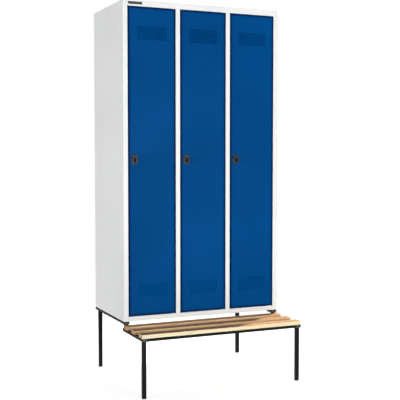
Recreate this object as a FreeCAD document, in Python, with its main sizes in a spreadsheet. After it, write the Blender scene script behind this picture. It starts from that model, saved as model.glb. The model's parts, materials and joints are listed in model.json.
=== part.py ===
import FreeCAD, Part
import math
import os
import re
import Sketcher

# Three-door steel locker on a tube frame with a slatted bench in front.
# X runs to the right, Y to the back, Z up; the origin is on the floor, below the middle of the whole.

driving = {
    "cabinet_width": 900,
    "cabinet_depth": 500,
    "cabinet_height": 1660,
    "compartment_count": 3,
    "sheet_wall": 1,
    "post_width": 25,
    "head_height": 30,
    "sill_height": 24,
    "stop_lip": 10,
    "rear_flange": 20,
    "fold_radius": 1.8,
    "cut_overrun": 5,
    "fit_gap": 0.02,
    "running_gap": 0.05,
    # doors
    "door_depth": 18,
    "door_gap": 2,
    "door_return": 12,
    "stop_gap": 2,
    "louvre_width": 160,
    "louvre_rise": 9,
    "louvre_out": 4.5,
    "louvre_pitch": 12,
    "louvre_count": 6,
    "louvre_edge": 98,
    "rib_width": 80,
    "rib_depth": 13,
    "rib_flange": 14,
    "rib_margin": 40,
    # hinges
    "pivot_inset": 15,
    "pivot_setback": 6.5,
    "pin_radius": 3,
    "bush_width": 8.4,
    "bush_flange_width": 12,
    "bush_flange_thickness": 1.6,
    "bush_tail_length": 3,
    # locks
    "lock_inset": 36,
    "lock_height": 822,
    "plate_left": 21,
    "plate_right": 15,
    "plate_above": 18,
    "plate_below": 30,
    "plate_thickness": 4,
    "plate_corner_width": 4,
    "plate_edge_width": 1.2,
    "spindle_radius": 4,
    "spindle_tail": 3,
    "drive_width": 5.4,
    "knob_radius": 8,
    "knob_thickness": 4,
    "knob_gap": 0.4,
    "grip_thickness": 4,
    "grip_height": 14,
    "grip_reach": 20,
    "grip_corner_width": 4,
    "eye_radius": 3.5,
    "eye_reach": 14.2,
    "lug_thickness": 4,
    "lug_gap": 0.5,
    "lug_inner": 8.6,
    "lug_outer": 20,
    "cam_gap": 1.5,
    "cam_thickness": 2.5,
    "cam_radius": 8,
    "cam_reach": 34,
    "buffer_width": 6,
    "buffer_height": 20,
    "buffer_gap": 0.3,
    # inside
    "shelf_setback": 45,
    "shelf_lip": 20,
    "shelf_drop": 290,
    "rail_drop": 62,
    "rail_radius": 5,
    "rail_height": 22,
    "rail_wall": 1.2,
    "hook_width": 7,
    "hook_gap": 0.4,
    "hook_ring_width": 3.5,
    "hook_stem_length": 34,
    "hook_arm_width": 6,
    "hook_bend_radius": 12,
    "hook_tip_height": 3.6,
    "hook_rise": 8,
    # bench and frame
    "stand_height": 340,
    "bench_reach": 270,
    "bench_drop": 18,
    "slat_width": 54,
    "slat_gap": 54,
    "slat_thickness": 20,
    "slat_round_radius": 2.5,
    "slat_inset": 1,
    "tube_width": 30,
    "tube_height": 15,
    "tube_wall": 1.5,
    "tube_round_radius": 2,
    "leg_width": 20,
    "leg_front_inset": 7,
    "leg_rear_inset": 28,
    "riser_setback": 5,
    "plug_face_thickness": 2,
    "plug_depth": 14,
    "plug_gap": 0.1,
    "foot_height": 5,
}
buffer_height_shares = (0.2, 0.8)
hook_place_shares = (0.3, 0.7)
full_turn = 360
half_turn = 180
octagon_share = math.tan(math.pi / 8)
parallel_limit = math.cos(math.radians(1))
seed_size = 1
edge_tolerance = 0.001

doc = FreeCAD.newDocument("Locker")
sheet = doc.addObject("Spreadsheet::Sheet", "Sizes")
for row, (alias, number) in enumerate(driving.items(), start=1):
    sheet.set(f"A{row}", alias.replace("_", " "))
    sheet.set(f"B{row}", str(number))
    sheet.setAlias(f"B{row}", alias)
doc.recompute()

alias_words = re.compile(r"\b(" + "|".join(driving) + r")\b")
axis_x = FreeCAD.Vector(1, 0, 0)
axis_y = FreeCAD.Vector(0, 1, 0)
axis_z = FreeCAD.Vector(0, 0, 1)
kept = []


# Helpers: every size and place is text that names cells of the sheet.

def bind(item, prop, text):
    item.setExpression(prop, alias_words.sub(r"Sizes.\1", text))


def place(item, at, turn=None):
    if turn:
        item.Placement = FreeCAD.Placement(FreeCAD.Vector(), turn)
    for axis, text in zip("xyz", at):
        bind(item, f"Placement.Base.{axis}", text)
    return item


def keep(item, label):
    item.Label = label
    kept.append(item)
    return item


def make_box(name, size, at):
    box = doc.addObject("Part::Box", name)
    for prop, text in zip(("Length", "Width", "Height"), size):
        bind(box, prop, text)
    return place(box, at)


def make_rod(name, radius, length, at):
    rod = doc.addObject("Part::Cylinder", name)
    bind(rod, "Radius", radius)
    bind(rod, "Height", length)
    return place(rod, at)


def make_group(name, members):
    group = doc.addObject("Part::Compound", name)
    group.Links = members
    return group


def make_body(name, at, turn=None):
    return place(doc.addObject("PartDesign::Body", name), at, turn)


def origin_item(body, role):
    return next(item for item in body.Origin.OriginFeatures if item.Role == role)


def new_sketch(body, name, role, lift):
    sketch = body.newObject("Sketcher::SketchObject", name)
    sketch.AttachmentSupport = (origin_item(body, role), [""])
    sketch.MapMode = "FlatFace"
    bind(sketch, "AttachmentOffset.Base.z", lift)
    return sketch


def fix_point(sketch, line, point, x, y):
    for kind, axis, text in (("DistanceX", -2, x), ("DistanceY", -1, y)):
        if text == "0":
            sketch.addConstraint(Sketcher.Constraint("PointOnObject", line, point, axis))
        else:
            number = sketch.addConstraint(Sketcher.Constraint(kind, -1, 1, line, point, seed_size))
            bind(sketch, f"Constraints[{number}]", text)


def draw_outline(body, name, role, points, lift="0"):
    sketch = new_sketch(body, name, role, lift)
    count = len(points)
    angles = [math.tau * i / count for i in range(count)]
    spots = [FreeCAD.Vector(math.cos(angle), math.sin(angle)) * seed_size for angle in angles]
    for i in range(count):
        sketch.addGeometry(Part.LineSegment(spots[i], spots[(i + 1) % count]))
    for i in range(count):
        sketch.addConstraint(Sketcher.Constraint("Coincident", i, 2, (i + 1) % count, 1))
    for i, (x, y) in enumerate(points):
        fix_point(sketch, i, 1, x, y)
    return sketch


def draw_rectangle(body, name, role, low, high, lift="0"):
    corners = [low, (high[0], low[1]), high, (low[0], high[1])]
    return draw_outline(body, name, role, corners, lift)


def draw_circle(body, name, role, centre, radius, lift="0"):
    sketch = new_sketch(body, name, role, lift)
    sketch.addGeometry(Part.Circle(FreeCAD.Vector(), axis_z, seed_size))
    fix_point(sketch, 0, 3, *centre)
    number = sketch.addConstraint(Sketcher.Constraint("Radius", 0, seed_size))
    bind(sketch, f"Constraints[{number}]", radius)
    return sketch


def draw_slot(body, name, role, low, high, radius, lift="0"):
    # an upright slot between the centres of its two round ends
    sketch = new_sketch(body, name, role, lift)
    foot_spot = FreeCAD.Vector()
    top_spot = axis_y * 2 * seed_size
    aside = axis_x * seed_size
    sketch.addGeometry(Part.ArcOfCircle(Part.Circle(top_spot, axis_z, seed_size), 0, math.pi))
    sketch.addGeometry(Part.ArcOfCircle(Part.Circle(foot_spot, axis_z, seed_size), math.pi, math.tau))
    sketch.addGeometry(Part.LineSegment(top_spot - aside, foot_spot - aside))
    sketch.addGeometry(Part.LineSegment(foot_spot + aside, top_spot + aside))
    for arc, end, line, point in ((0, 2, 2, 1), (1, 1, 2, 2), (1, 2, 3, 1), (0, 1, 3, 2)):
        sketch.addConstraint(Sketcher.Constraint("Tangent", arc, end, line, point))
    fix_point(sketch, 0, 3, *high)
    fix_point(sketch, 1, 3, *low)
    sketch.addConstraint(Sketcher.Constraint("Equal", 0, 1))
    number = sketch.addConstraint(Sketcher.Constraint("Radius", 0, seed_size))
    bind(sketch, f"Constraints[{number}]", radius)
    return sketch


def octagon_corner(radius):
    return f"({octagon_share} * ({radius}))"


def draw_oblong(body, name, role, low, high, radius, lift="0"):
    # an upright bar with mitred ends, between the heights of its two end centres
    flat = octagon_corner(radius)
    points = [
        (radius, f"{high} + {flat}"),
        (flat, f"{high} + {radius}"),
        (f"-{flat}", f"{high} + {radius}"),
        (f"-{radius}", f"{high} + {flat}"),
        (f"-{radius}", f"{low} - {flat}"),
        (f"-{flat}", f"{low} - {radius}"),
        (flat, f"{low} - {radius}"),
        (radius, f"{low} - {flat}"),
    ]
    return draw_outline(body, name, role, points, lift)


def add_feature(body, kind, sketch, length, reverse=False):
    feature = body.newObject("PartDesign::" + kind, sketch.Name + "_" + kind.lower())
    feature.Profile = sketch
    bind(feature, "Length", length)
    feature.Reversed = reverse
    body.Tip = feature
    return feature


def add_revolve(body, sketch):
    feature = body.newObject("PartDesign::Revolution", sketch.Name + "_revolve")
    feature.Profile = sketch
    feature.ReferenceAxis = (sketch, ["V_Axis"])
    feature.Angle = full_turn
    body.Tip = feature
    return feature


def add_row(body, feature, role, length, count):
    row = body.newObject("PartDesign::LinearPattern", feature.Name + "_row")
    row.Originals = [feature]
    row.Direction = (origin_item(body, role), [""])
    bind(row, "Length", length)
    bind(row, "Occurrences", count)
    body.Tip = row
    return row


def dress_edges(body, kind, prop, size, choose):
    # works on the edges of the body's last feature that the given test picks
    doc.recompute()
    base = body.Tip
    names = [f"Edge{n}" for n, edge in enumerate(base.Shape.Edges, start=1) if choose(edge)]
    feature = body.newObject("PartDesign::" + kind, base.Name + "_" + kind.lower())
    feature.Base = (base, names)
    bind(feature, prop, size)
    body.Tip = feature
    return feature


def add_round(body, radius, choose):
    return dress_edges(body, "Fillet", "Radius", radius, choose)


def add_bevel(body, width, choose):
    return dress_edges(body, "Chamfer", "Size", width, choose)


def along(axis):
    return lambda edge: runs_along(edge, axis)


def on_front(body):
    # picks the edges in the foremost plane of the body's last feature
    doc.recompute()
    limit = body.Tip.Shape.BoundBox.YMin + edge_tolerance
    return lambda edge: edge.BoundBox.YMax < limit


def both(first, second):
    return lambda edge: first(edge) and second(edge)


def runs_along(edge, axis):
    ends = edge.Vertexes
    if len(ends) < 2:
        return False
    span = (ends[-1].Point - ends[0].Point).normalize()
    return abs(span.dot(axis)) > parallel_limit


# Places that many pieces share.
left = "(-cabinet_width / 2)"
front = "((bench_reach - cabinet_depth) / 2)"
base_z = "stand_height"
top_z = "(stand_height + cabinet_height)"
pitch = "((cabinet_width - post_width) / compartment_count)"
post_fold = "(door_depth + stop_gap + sheet_wall)"
door_width = f"({pitch} - post_width - 2 * door_gap)"
door_height = "(cabinet_height - head_height - sill_height - 2 * door_gap)"
door_bottom = "(stand_height + sill_height + door_gap)"
panel_height = "(cabinet_height - 2 * sheet_wall)"
panel_depth = "(cabinet_depth - sheet_wall)"
seat_top = "(stand_height - bench_drop)"
bench_rail_top = f"({seat_top} - slat_thickness)"
compartments = range(driving["compartment_count"])
door_names = ("left", "middle", "right")
sides = ("left", "right")


def side_left(side, width):
    return left if side == "left" else f"(-{left} - {width})"


def opening_left(k):
    return f"({left} + post_width + {k} * {pitch})"


def wall_left(k):
    if k == 0:
        return f"({left} + sheet_wall)"
    return f"({left} + post_width / 2 + {k} * {pitch} + sheet_wall / 2)"


def wall_right(k):
    if k == compartments[-1]:
        return f"(-{left} - sheet_wall)"
    return f"({left} + post_width / 2 + {k + 1} * {pitch} - sheet_wall / 2)"


def hinge_x(k):
    return f"({opening_left(k)} + door_gap + {door_width} - pivot_inset)"


hinge_y = f"({front} + pivot_setback)"
head_return_z = f"({top_z} - head_height)"
sill_return_z = f"({base_z} + sill_height)"
bush_room = "(bush_width / 2 + fit_gap)"


# Side panels: one folded sheet each, with the front post and the rear flange.

def make_left_side():
    body = make_body("LeftSide", (left, front, f"{base_z} + sheet_wall"))
    points = [
        ("0", "0"),
        ("post_width", "0"),
        ("post_width", f"{post_fold} - sheet_wall"),
        ("post_width + stop_lip", f"{post_fold} - sheet_wall"),
        ("post_width + stop_lip", post_fold),
        ("post_width - sheet_wall", post_fold),
        ("post_width - sheet_wall", "sheet_wall"),
        ("sheet_wall", "sheet_wall"),
        ("sheet_wall", f"{panel_depth} - sheet_wall"),
        ("rear_flange", f"{panel_depth} - sheet_wall"),
        ("rear_flange", panel_depth),
        ("0", panel_depth),
    ]
    add_feature(body, "Pad", draw_outline(body, "LeftSideFold", "XY_Plane", points), panel_height)
    add_round(body, "fold_radius", both(on_front(body), along(axis_z)))
    keep(body, "left_side_panel")


def make_right_side():
    body = make_body("RightSide", (f"-{left}", front, f"{base_z} + sheet_wall"))
    points = [
        ("0", "0"),
        ("0", panel_depth),
        ("-rear_flange", panel_depth),
        ("-rear_flange", f"{panel_depth} - sheet_wall"),
        ("-sheet_wall", f"{panel_depth} - sheet_wall"),
        ("-sheet_wall", "sheet_wall"),
        ("sheet_wall - post_width", "sheet_wall"),
        ("sheet_wall - post_width", post_fold),
        ("-post_width", post_fold),
        ("-post_width", "0"),
    ]
    add_feature(body, "Pad", draw_outline(body, "RightSideFold", "XY_Plane", points), panel_height)
    add_round(body, "fold_radius", both(on_front(body), along(axis_z)))
    keep(body, "right_side_panel")


# Partitions: a web from floor to roof, with a folded mullion between sill and head.

def make_partition(k, label):
    middle = f"{left} + post_width / 2 + {k} * {pitch}"
    body = make_body(f"Partition{k}", (middle, front, f"{base_z} + sheet_wall"))
    web = [
        ("-sheet_wall / 2", post_fold),
        ("sheet_wall / 2", post_fold),
        ("sheet_wall / 2", f"{panel_depth} - sheet_wall"),
        ("rear_flange", f"{panel_depth} - sheet_wall"),
        ("rear_flange", panel_depth),
        ("-sheet_wall / 2", panel_depth),
    ]
    add_feature(body, "Pad", draw_outline(body, f"Web{k}", "XY_Plane", web), panel_height)
    mullion = [
        ("-post_width / 2", "0"),
        ("post_width / 2", "0"),
        ("post_width / 2", f"{post_fold} - sheet_wall"),
        ("post_width / 2 + stop_lip", f"{post_fold} - sheet_wall"),
        ("post_width / 2 + stop_lip", post_fold),
        ("post_width / 2 - sheet_wall", post_fold),
        ("post_width / 2 - sheet_wall", "sheet_wall"),
        ("sheet_wall / 2", "sheet_wall"),
        ("sheet_wall / 2", f"{post_fold} + sheet_wall"),
        ("-sheet_wall / 2", f"{post_fold} + sheet_wall"),
        ("-sheet_wall / 2", "sheet_wall"),
        ("sheet_wall - post_width / 2", "sheet_wall"),
        ("sheet_wall - post_width / 2", post_fold),
        ("-post_width / 2", post_fold),
    ]
    fold = draw_outline(body, f"Mullion{k}", "XY_Plane", mullion, "sill_height - sheet_wall")
    add_feature(body, "Pad", fold, "cabinet_height - sill_height - head_height")
    add_round(body, "fold_radius", both(on_front(body), along(axis_z)))
    keep(body, label)


# Roof and floor: a full sheet, with a folded rail between the posts that carries the hinge bushes.

def make_cover(name, z, sheet_low, rail_points, upward):
    body = make_body(name, (left, front, z))
    high = ("cabinet_depth", f"{sheet_low} + sheet_wall")
    section = draw_rectangle(body, name + "Sheet", "YZ_Plane", ("0", sheet_low), high)
    add_feature(body, "Pad", section, "cabinet_width")
    rail = draw_outline(body, name + "Rail", "YZ_Plane", rail_points, "post_width")
    add_feature(body, "Pad", rail, "cabinet_width - 2 * post_width")
    add_round(body, "fold_radius", both(on_front(body), on_return))
    for k in compartments:
        x = f"({hinge_x(k)} - {left})"
        low = (f"{x} - {bush_room}", f"pivot_setback - {bush_room}")
        high = (f"{x} + {bush_room}", f"pivot_setback + {bush_room}")
        hole = draw_rectangle(body, f"{name}Hole{k}", "XY_Plane", low, high)
        add_feature(body, "Pocket", hole, "2 * sheet_wall", reverse=upward)
    return body


def on_return(edge):
    # the fold of a cover's rail lies in the plane of its sketch origin
    return runs_along(edge, axis_x) and abs(edge.BoundBox.Center.z) < edge_tolerance


def make_roof():
    rail = [
        ("0", "0"),
        (f"{post_fold} - sheet_wall", "0"),
        (f"{post_fold} - sheet_wall", "sheet_wall"),
        ("sheet_wall", "sheet_wall"),
        ("sheet_wall", "head_height - sheet_wall"),
        ("0", "head_height - sheet_wall"),
    ]
    body = make_cover("Roof", head_return_z, "head_height - sheet_wall", rail, upward=True)
    keep(body, "roof_panel")


def make_floor():
    # measured down from the top of the sill
    rail = [
        ("0", "sheet_wall - sill_height"),
        ("sheet_wall", "sheet_wall - sill_height"),
        ("sheet_wall", "-sheet_wall"),
        (f"{post_fold} - sheet_wall", "-sheet_wall"),
        (f"{post_fold} - sheet_wall", "0"),
        ("0", "0"),
    ]
    body = make_cover("Floor", sill_return_z, "-sill_height", rail, upward=False)
    keep(body, "floor_panel")


def make_back():
    size = ("cabinet_width", "sheet_wall", panel_height)
    at = (left, f"{front} + {panel_depth}", f"{base_z} + sheet_wall")
    keep(make_box("Back", size, at), "back_panel")


# Inside each compartment: hat shelf, coat rail and two sliding hooks.

shelf_top = f"({top_z} - shelf_drop)"
rail_y = f"({front} + cabinet_depth / 2)"
rail_z = f"({shelf_top} - rail_drop)"
rail_half = "(rail_height / 2 - rail_radius)"


def make_shelf(k):
    depth = "(cabinet_depth - 2 * sheet_wall - shelf_setback)"
    body = make_body(f"Shelf{k}", (wall_left(k), f"{front} + shelf_setback", f"{shelf_top} - shelf_lip"))
    points = [
        ("0", "0"),
        ("sheet_wall", "0"),
        ("sheet_wall", "shelf_lip - sheet_wall"),
        (f"{depth} - sheet_wall", "shelf_lip - sheet_wall"),
        (f"{depth} - sheet_wall", "0"),
        (depth, "0"),
        (depth, "shelf_lip"),
        ("0", "shelf_lip"),
    ]
    sketch = draw_outline(body, f"ShelfFold{k}", "YZ_Plane", points)
    add_feature(body, "Pad", sketch, f"{wall_right(k)} - {wall_left(k)}")
    keep(body, f"{door_names[k]}_hat_shelf")


def make_coat_rail(k):
    width = f"{wall_right(k)} - {wall_left(k)}"
    body = make_body(f"CoatRail{k}", (wall_left(k), rail_y, rail_z))
    low = ("0", f"-{rail_half}")
    high = ("0", rail_half)
    add_feature(body, "Pad", draw_slot(body, f"RailTube{k}", "YZ_Plane", low, high, "rail_radius"), width)
    room = "(rail_radius - rail_wall)"
    bore = draw_oblong(body, f"RailBore{k}", "YZ_Plane", f"-{rail_half}", rail_half, room)
    add_feature(body, "Pocket", bore, width, reverse=True)
    keep(body, f"{door_names[k]}_coat_rail")


ring_radius = "(rail_radius + hook_gap + hook_ring_width)"
bend_inside = "(hook_bend_radius - hook_arm_width / 2)"
bend_outside = "(hook_bend_radius + hook_arm_width / 2)"
bend_drop = f"({rail_half} + rail_radius + hook_gap + hook_ring_width / 2 + hook_stem_length)"


def hook_half():
    # the rear half of the anchor, from the top of its ring down to the middle of its foot
    ring_flat = octagon_corner(ring_radius)
    inside_flat = octagon_corner(bend_inside)
    outside_flat = octagon_corner(bend_outside)
    ring_top = f"{rail_half} + {ring_radius}"
    ring_side = f"{rail_half} + {ring_flat}"
    tip = f"hook_rise - {bend_drop}"
    return [
        (ring_flat, ring_top),
        (ring_radius, ring_side),
        (ring_radius, f"-({ring_side})"),
        (ring_flat, f"-({ring_top})"),
        ("hook_arm_width / 2", f"-({ring_top})"),
        ("hook_arm_width / 2", f"-{bend_drop} - {inside_flat}"),
        (f"hook_bend_radius - {inside_flat}", f"-{bend_drop} - {bend_inside}"),
        (f"hook_bend_radius + {inside_flat}", f"-{bend_drop} - {bend_inside}"),
        (f"hook_bend_radius + {bend_inside}", f"-{bend_drop} - {inside_flat}"),
        (f"hook_bend_radius + {bend_inside}", tip),
        (f"hook_bend_radius + {bend_inside} + hook_arm_width / 4", f"{tip} + hook_tip_height"),
        (f"hook_bend_radius + {bend_outside} - hook_arm_width / 4", f"{tip} + hook_tip_height"),
        (f"hook_bend_radius + {bend_outside}", tip),
        (f"hook_bend_radius + {bend_outside}", f"-{bend_drop} - {outside_flat}"),
        (f"hook_bend_radius + {outside_flat}", f"-{bend_drop} - {bend_outside}"),
        (f"hook_bend_radius - {outside_flat}", f"-{bend_drop} - {bend_outside}"),
    ]


def make_hook(k, i, share):
    # a flat moulded anchor: a ring round the rail, a stem and two upturned arms
    name = f"Hook{k}{i}"
    x = f"({wall_left(k)} + {share} * ({wall_right(k)} - {wall_left(k)}) - hook_width / 2)"
    body = make_body(name, (x, rail_y, rail_z))
    rear = hook_half()
    foot = ("0", f"hook_bend_radius - {octagon_corner(bend_outside)} - {bend_drop} - {bend_outside}")
    outline = rear + [foot] + [(f"-({y})", z) for y, z in reversed(rear)]
    add_feature(body, "Pad", draw_outline(body, name + "Shape", "YZ_Plane", outline), "hook_width")
    room = "(rail_radius + hook_gap)"
    hole = draw_oblong(body, name + "Hole", "YZ_Plane", f"-{rail_half}", rail_half, room)
    add_feature(body, "Pocket", hole, "hook_width", reverse=True)
    keep(body, f"{door_names[k]}_coat_hook_{i + 1}")


# Doors: a folded pan with two blocks of pressed louvres, hung on a pin at each end.

louvre_block = "((louvre_count - 1) * louvre_pitch + louvre_rise)"


def add_louvres(body, name, bottom):
    lift = f"({door_width} - louvre_width) / 2"
    hood = [
        ("0", bottom),
        ("0", f"{bottom} + louvre_rise"),
        ("-louvre_out", bottom),
    ]
    skin = "(sheet_wall * sqrt(louvre_out ^ 2 + louvre_rise ^ 2) / louvre_out)"
    inner_rise = f"(louvre_rise - {skin})"
    slot = [
        ("2 * sheet_wall", bottom),
        ("2 * sheet_wall", f"{bottom} + {inner_rise}"),
        ("0", f"{bottom} + {inner_rise}"),
        (f"-louvre_out * {inner_rise} / louvre_rise", bottom),
    ]
    run = "(louvre_count - 1) * louvre_pitch"
    outer = draw_outline(body, name + "Hood", "YZ_Plane", hood, lift)
    add_row(body, add_feature(body, "Pad", outer, "louvre_width"), "Z_Axis", run, "louvre_count")
    inner = draw_outline(body, name + "Slot", "YZ_Plane", slot, f"{lift} + sheet_wall")
    cut = add_feature(body, "Pocket", inner, "louvre_width - 2 * sheet_wall", reverse=True)
    add_row(body, cut, "Z_Axis", run, "louvre_count")


def make_door(k):
    name = f"Door{k}"
    door_left = f"({opening_left(k)} + door_gap)"
    body = make_body(name, (door_left, front, door_bottom))
    face = draw_rectangle(body, name + "Face", "XZ_Plane", ("0", "0"), (door_width, door_height))
    add_feature(body, "Pad", face, "door_depth", reverse=True)
    add_round(body, "fold_radius", on_front(body))
    low = ("sheet_wall", "sheet_wall")
    high = (f"{door_width} - sheet_wall", f"{door_height} - sheet_wall")
    hollow = draw_rectangle(body, name + "Hollow", "XZ_Plane", low, high, "-sheet_wall")
    add_feature(body, "Pocket", hollow, "door_depth - 2 * sheet_wall")
    low = ("door_return", "door_return")
    high = (f"{door_width} - door_return", f"{door_height} - door_return")
    window = draw_rectangle(body, name + "Window", "XZ_Plane", low, high, "-sheet_wall")
    add_feature(body, "Pocket", window, "door_depth")
    room = "(spindle_radius + lug_gap)"
    low = (f"lock_inset - {room}", f"lock_height - {room}")
    high = (f"lock_inset + {room}", f"lock_height + {room}")
    lock_hole = draw_rectangle(body, name + "LockHole", "XZ_Plane", low, high)
    add_feature(body, "Pocket", lock_hole, "2 * sheet_wall")
    add_louvres(body, name + "Low", "louvre_edge")
    add_louvres(body, name + "High", f"({door_height} - louvre_edge - {louvre_block})")
    keep(body, f"{door_names[k]}_door_panel")


def make_rib(k):
    start = f"(louvre_edge + {louvre_block} + rib_margin)"
    x = f"{opening_left(k)} + door_gap + ({door_width} - rib_width) / 2"
    body = make_body(f"Rib{k}", (x, f"{front} + sheet_wall", f"{door_bottom} + {start}"))
    points = [
        ("0", "0"),
        ("rib_flange", "0"),
        ("rib_flange", "rib_depth - sheet_wall"),
        ("rib_width - rib_flange", "rib_depth - sheet_wall"),
        ("rib_width - rib_flange", "0"),
        ("rib_width", "0"),
        ("rib_width", "sheet_wall"),
        ("rib_width - rib_flange + sheet_wall", "sheet_wall"),
        ("rib_width - rib_flange + sheet_wall", "rib_depth"),
        ("rib_flange - sheet_wall", "rib_depth"),
        ("rib_flange - sheet_wall", "sheet_wall"),
        ("0", "sheet_wall"),
    ]
    fold = draw_outline(body, f"RibFold{k}", "XY_Plane", points)
    add_feature(body, "Pad", fold, f"{door_height} - 2 * {start}")
    keep(body, f"{door_names[k]}_door_rib")


pin_length = "(door_gap + sheet_wall + bush_tail_length)"


def make_bush(name, at, turn=None):
    # a square flange below the sheet, a square shank through it, and the round bore of the pin
    body = make_body(name, at, turn)
    for word, width, length in (
        ("Flange", "bush_flange_width", "bush_flange_thickness"),
        ("Shank", "bush_width", "bush_flange_thickness + sheet_wall + bush_tail_length"),
    ):
        low = (f"-{width} / 2", f"-{width} / 2")
        high = (f"{width} / 2", f"{width} / 2")
        add_feature(body, "Pad", draw_rectangle(body, name + word, "XY_Plane", low, high), length)
    bore = draw_circle(body, name + "Bore", "XY_Plane", ("0", "0"), "pin_radius + running_gap")
    length = "bush_flange_thickness + sheet_wall + bush_tail_length + cut_overrun"
    add_feature(body, "Pocket", bore, length, reverse=True)
    return body


upside_down = FreeCAD.Rotation(axis_x, half_turn)


def make_hinges():
    # each pin is a stub welded on the end fold of its door
    bushes = []
    for k in compartments:
        x = hinge_x(k)
        upper_at = (x, hinge_y, f"{door_bottom} + {door_height}")
        lower_at = (x, hinge_y, f"{door_bottom} - {pin_length}")
        upper = make_rod(f"UpperPin{k}", "pin_radius", pin_length, upper_at)
        lower = make_rod(f"LowerPin{k}", "pin_radius", pin_length, lower_at)
        keep(make_group(f"HingePins{k}", [upper, lower]), f"{door_names[k]}_hinge_pins")
        under_head = (x, hinge_y, f"{head_return_z} - bush_flange_thickness")
        over_sill = (x, hinge_y, f"{sill_return_z} + bush_flange_thickness")
        bushes.append(make_bush(f"UpperBush{k}", under_head))
        bushes.append(make_bush(f"LowerBush{k}", over_sill, upside_down))
    keep(make_group("HingeBushes", bushes), "hinge_bushes")


def make_buffers():
    pads = []
    thickness = "(stop_gap - buffer_gap)"
    for k in compartments:
        x = f"{opening_left(k)} + (stop_lip + door_gap - buffer_width) / 2"
        y = f"{front} + {post_fold} - sheet_wall - {thickness}"
        for i, share in enumerate(buffer_height_shares):
            z = f"{door_bottom} + {share} * {door_height} - buffer_height / 2"
            size = ("buffer_width", thickness, "buffer_height")
            pads.append(make_box(f"Buffer{k}{i}", size, (x, y, z)))
    keep(make_group("Buffers", pads), "door_buffers")


# Turn latch: a plate with a fixed lug, a knob whose grip meets the lug, and a cam behind the post lip.
# The cam sits on a square at the end of the knob's spindle.

grip_foot = "(plate_thickness + knob_gap + knob_thickness)"
eye_y = f"({grip_foot} + grip_height / 2)"
cam_y = f"({post_fold} + cam_gap)"


def draw_drive(body, name, gap="0"):
    half = f"(drive_width / 2 + {gap})"
    low = (f"-{half}", f"-{half}")
    return draw_rectangle(body, name, "XZ_Plane", low, (half, half), f"-{cam_y}")


def lock_place(k):
    x = f"{opening_left(k)} + door_gap + lock_inset"
    return x, front, f"{door_bottom} + lock_height"


def make_lock_plate(k):
    name = f"LockPlate{k}"
    body = make_body(name, lock_place(k))
    low = ("-plate_left", "-plate_below")
    high = ("plate_right", "plate_above")
    add_feature(body, "Pad", draw_rectangle(body, name + "Face", "XZ_Plane", low, high), "plate_thickness")
    add_bevel(body, "plate_corner_width", along(axis_y))
    add_bevel(body, "plate_edge_width", on_front(body))
    bore = draw_circle(body, name + "Bore", "XZ_Plane", ("0", "0"), "spindle_radius + running_gap")
    add_feature(body, "Pocket", bore, "plate_thickness + cut_overrun", reverse=True)
    low = ("-lug_outer", "grip_thickness / 2 + lug_gap")
    high = ("-lug_inner", "grip_thickness / 2 + lug_gap + lug_thickness")
    lug = draw_rectangle(body, name + "Lug", "XZ_Plane", low, high, "plate_thickness - plate_edge_width")
    add_feature(body, "Pad", lug, f"{grip_foot} + grip_height - plate_thickness + plate_edge_width")
    eye = draw_circle(body, name + "Eye", "XY_Plane", ("-eye_reach", f"-{eye_y}"), "eye_radius")
    add_feature(body, "Pocket", eye, "plate_above", reverse=True)
    keep(body, f"{door_names[k]}_lock_plate")


def make_knob(k):
    name = f"Knob{k}"
    body = make_body(name, lock_place(k))
    points = [
        ("0", cam_y),
        ("spindle_radius", cam_y),
        ("spindle_radius", "-plate_thickness - knob_gap"),
        ("knob_radius", "-plate_thickness - knob_gap"),
        ("knob_radius", f"-{grip_foot}"),
        ("0", f"-{grip_foot}"),
    ]
    add_revolve(body, draw_outline(body, name + "Profile", "XY_Plane", points))
    drive = draw_drive(body, name + "Drive")
    add_feature(body, "Pad", drive, "cam_thickness + spindle_tail", reverse=True)
    low = (f"-{grip_foot} - grip_height", "-grip_reach")
    high = (f"-{grip_foot} + knob_thickness / 2", "knob_radius / 2")
    grip = draw_rectangle(body, name + "Grip", "YZ_Plane", low, high, "-grip_thickness / 2")
    add_feature(body, "Pad", grip, "grip_thickness")
    add_bevel(body, "grip_corner_width", both(on_front(body), along(axis_x)))
    centre = (f"-{eye_y}", "-eye_reach")
    eye = draw_circle(body, name + "Eye", "YZ_Plane", centre, "eye_radius", "-grip_thickness")
    add_feature(body, "Pocket", eye, "2 * grip_thickness", reverse=True)
    keep(body, f"{door_names[k]}_latch_knob")


def make_cam(k):
    name = f"Cam{k}"
    body = make_body(name, lock_place(k))
    foot = "cam_radius - cam_reach"
    shape = draw_oblong(body, name + "Shape", "XZ_Plane", foot, "0", "cam_radius", f"-{cam_y}")
    add_feature(body, "Pad", shape, "cam_thickness", reverse=True)
    add_feature(body, "Pocket", draw_drive(body, name + "Hole", "fit_gap"), "2 * cam_thickness")
    keep(body, f"{door_names[k]}_latch_cam")


# Bench frame: flat tubes under the cabinet and the slats, on square legs.

tube_planes = {"x": "YZ_Plane", "y": "XZ_Plane", "z": "XY_Plane"}
tube_axes = {"x": axis_x, "y": axis_y, "z": axis_z}


def make_tube(name, size, at, run):
    body = make_body(name, at)
    section = tuple(text for axis, text in zip("xyz", size) if axis != run)
    length = size["xyz".index(run)]
    backward = run == "y"
    outer = draw_rectangle(body, name + "Outer", tube_planes[run], ("0", "0"), section)
    add_feature(body, "Pad", outer, length, reverse=backward)
    add_round(body, "tube_round_radius", along(tube_axes[run]))
    high = tuple(f"{text} - tube_wall" for text in section)
    inner = draw_rectangle(body, name + "Inner", tube_planes[run], ("tube_wall", "tube_wall"), high)
    add_feature(body, "Pocket", inner, length, reverse=not backward)
    return body


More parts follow.
